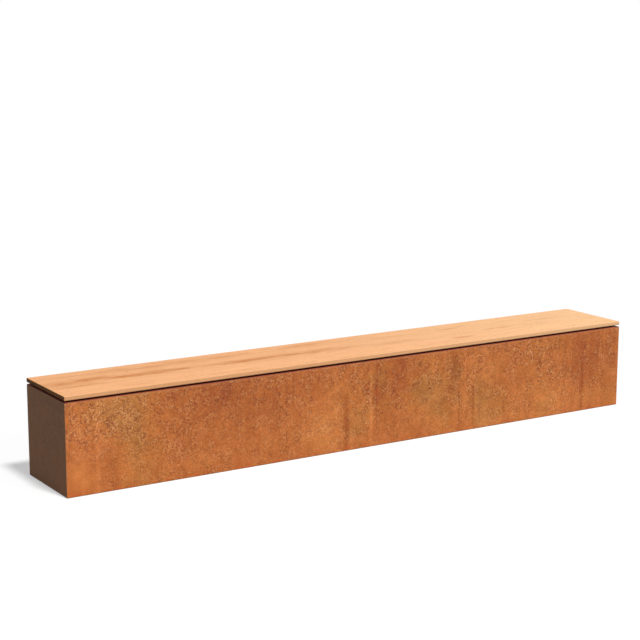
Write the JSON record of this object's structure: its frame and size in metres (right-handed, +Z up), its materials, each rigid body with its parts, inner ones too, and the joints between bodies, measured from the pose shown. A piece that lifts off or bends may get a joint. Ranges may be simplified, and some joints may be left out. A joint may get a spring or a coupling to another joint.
{
  "type": "bench with planter trough",
  "caption": "Long backless park bench: a flush hardwood seat on a thin shadow gap over a closed trough of folded weathering steel, with levelling feet inside the base.",
  "frame": {"origin": "on the ground, under the middle of the bench", "axes": "+X along the seat, -Y towards the front, +Z up"},
  "size_m": [3, 0.4, 0.43],
  "materials": {
    "weathering_steel": "rusted weathering steel with a stable, matt, speckled patina",
    "inner_steel": "rusted weathering steel kept in the shade",
    "hardwood": "planed and oiled, grain along the seat",
    "stainless_steel": "cold formed, satin",
    "nylon": "moulded, fine texture"
  },
  "bodies": {
    "bench_body": {"front_panel": "weathering_steel", "right_end_panel": "weathering_steel", "back_panel": "weathering_steel", "left_end_panel": "weathering_steel", "seat_bearer_1": "inner_steel", "seat_bearer_2": "inner_steel", "seat_bearer_3": "inner_steel", "seat_bearer_4": "inner_steel", "seat_bearer_5": "inner_steel", "seat_bearer_6": "inner_steel", "seat_board_front": "hardwood", "seat_board_middle": "hardwood", "seat_board_back": "hardwood", "seat_screw_1": "stainless_steel", "seat_screw_2": "stainless_steel", "seat_screw_3": "stainless_steel", "seat_screw_4": "stainless_steel", "seat_screw_5": "stainless_steel", "seat_screw_6": "stainless_steel", "seat_screw_7": "stainless_steel", "seat_screw_8": "stainless_steel", "seat_screw_9": "stainless_steel", "seat_screw_10": "stainless_steel", "seat_screw_11": "stainless_steel", "seat_screw_12": "stainless_steel", "seat_screw_13": "stainless_steel", "seat_screw_14": "stainless_steel", "seat_screw_15": "stainless_steel", "seat_screw_16": "stainless_steel", "seat_screw_17": "stainless_steel", "seat_screw_18": "stainless_steel", "foot_beam_left": "inner_steel", "foot_beam_middle": "inner_steel", "foot_beam_right": "inner_steel", "lock_nut_1": "stainless_steel", "lock_nut_2": "stainless_steel", "lock_nut_3": "stainless_steel", "lock_nut_4": "stainless_steel", "lock_nut_5": "stainless_steel", "lock_nut_6": "stainless_steel"},
    "pad_1": {"foot_pad_1": "nylon"},
    "pad_2": {"foot_pad_2": "nylon"},
    "pad_3": {"foot_pad_3": "nylon"},
    "pad_4": {"foot_pad_4": "nylon"},
    "pad_5": {"foot_pad_5": "nylon"},
    "pad_6": {"foot_pad_6": "nylon"},
    "stud_1": {"foot_stud_1": "stainless_steel"},
    "stud_2": {"foot_stud_2": "stainless_steel"},
    "stud_3": {"foot_stud_3": "stainless_steel"},
    "stud_4": {"foot_stud_4": "stainless_steel"},
    "stud_5": {"foot_stud_5": "stainless_steel"},
    "stud_6": {"foot_stud_6": "stainless_steel"}
  },
  "joints": [
    {"name": "foot_1_travel", "type": "slide", "parent": "bench_body", "child": "pad_1", "axis": [0, 0, -1], "range_m": [0, 0.02]},
    {"name": "stud_1_turn", "type": "hinge", "parent": "pad_1", "child": "stud_1", "pos_m": [-1.3, -0.14, 0.03], "axis": [0, 0, -1], "range_deg": [0, 4114.3]},
    {"name": "foot_2_travel", "type": "slide", "parent": "bench_body", "child": "pad_2", "axis": [0, 0, -1], "range_m": [0, 0.02]},
    {"name": "stud_2_turn", "type": "hinge", "parent": "pad_2", "child": "stud_2", "pos_m": [-1.3, 0.14, 0.03], "axis": [0, 0, -1], "range_deg": [0, 4114.3]},
    {"name": "foot_3_travel", "type": "slide", "parent": "bench_body", "child": "pad_3", "axis": [0, 0, -1], "range_m": [0, 0.02]},
    {"name": "stud_3_turn", "type": "hinge", "parent": "pad_3", "child": "stud_3", "pos_m": [0, -0.14, 0.03], "axis": [0, 0, -1], "range_deg": [0, 4114.3]},
    {"name": "foot_4_travel", "type": "slide", "parent": "bench_body", "child": "pad_4", "axis": [0, 0, -1], "range_m": [0, 0.02]},
    {"name": "stud_4_turn", "type": "hinge", "parent": "pad_4", "child": "stud_4", "pos_m": [0, 0.14, 0.03], "axis": [0, 0, -1], "range_deg": [0, 4114.3]},
    {"name": "foot_5_travel", "type": "slide", "parent": "bench_body", "child": "pad_5", "axis": [0, 0, -1], "range_m": [0, 0.02]},
    {"name": "stud_5_turn", "type": "hinge", "parent": "pad_5", "child": "stud_5", "pos_m": [1.3, -0.14, 0.03], "axis": [0, 0, -1], "range_deg": [0, 4114.3]},
    {"name": "foot_6_travel", "type": "slide", "parent": "bench_body", "child": "pad_6", "axis": [0, 0, -1], "range_m": [0, 0.02]},
    {"name": "stud_6_turn", "type": "hinge", "parent": "pad_6", "child": "stud_6", "pos_m": [1.3, 0.14, 0.03], "axis": [0, 0, -1], "range_deg": [0, 4114.3]}
  ],
  "couplings": [
    {"joint": "stud_1_turn", "follows": "foot_1_travel", "rad_per_m": 3590.4},
    {"joint": "stud_2_turn", "follows": "foot_2_travel", "rad_per_m": 3590.4},
    {"joint": "stud_3_turn", "follows": "foot_3_travel", "rad_per_m": 3590.4},
    {"joint": "stud_4_turn", "follows": "foot_4_travel", "rad_per_m": 3590.4},
    {"joint": "stud_5_turn", "follows": "foot_5_travel", "rad_per_m": 3590.4},
    {"joint": "stud_6_turn", "follows": "foot_6_travel", "rad_per_m": 3590.4}
  ]
}
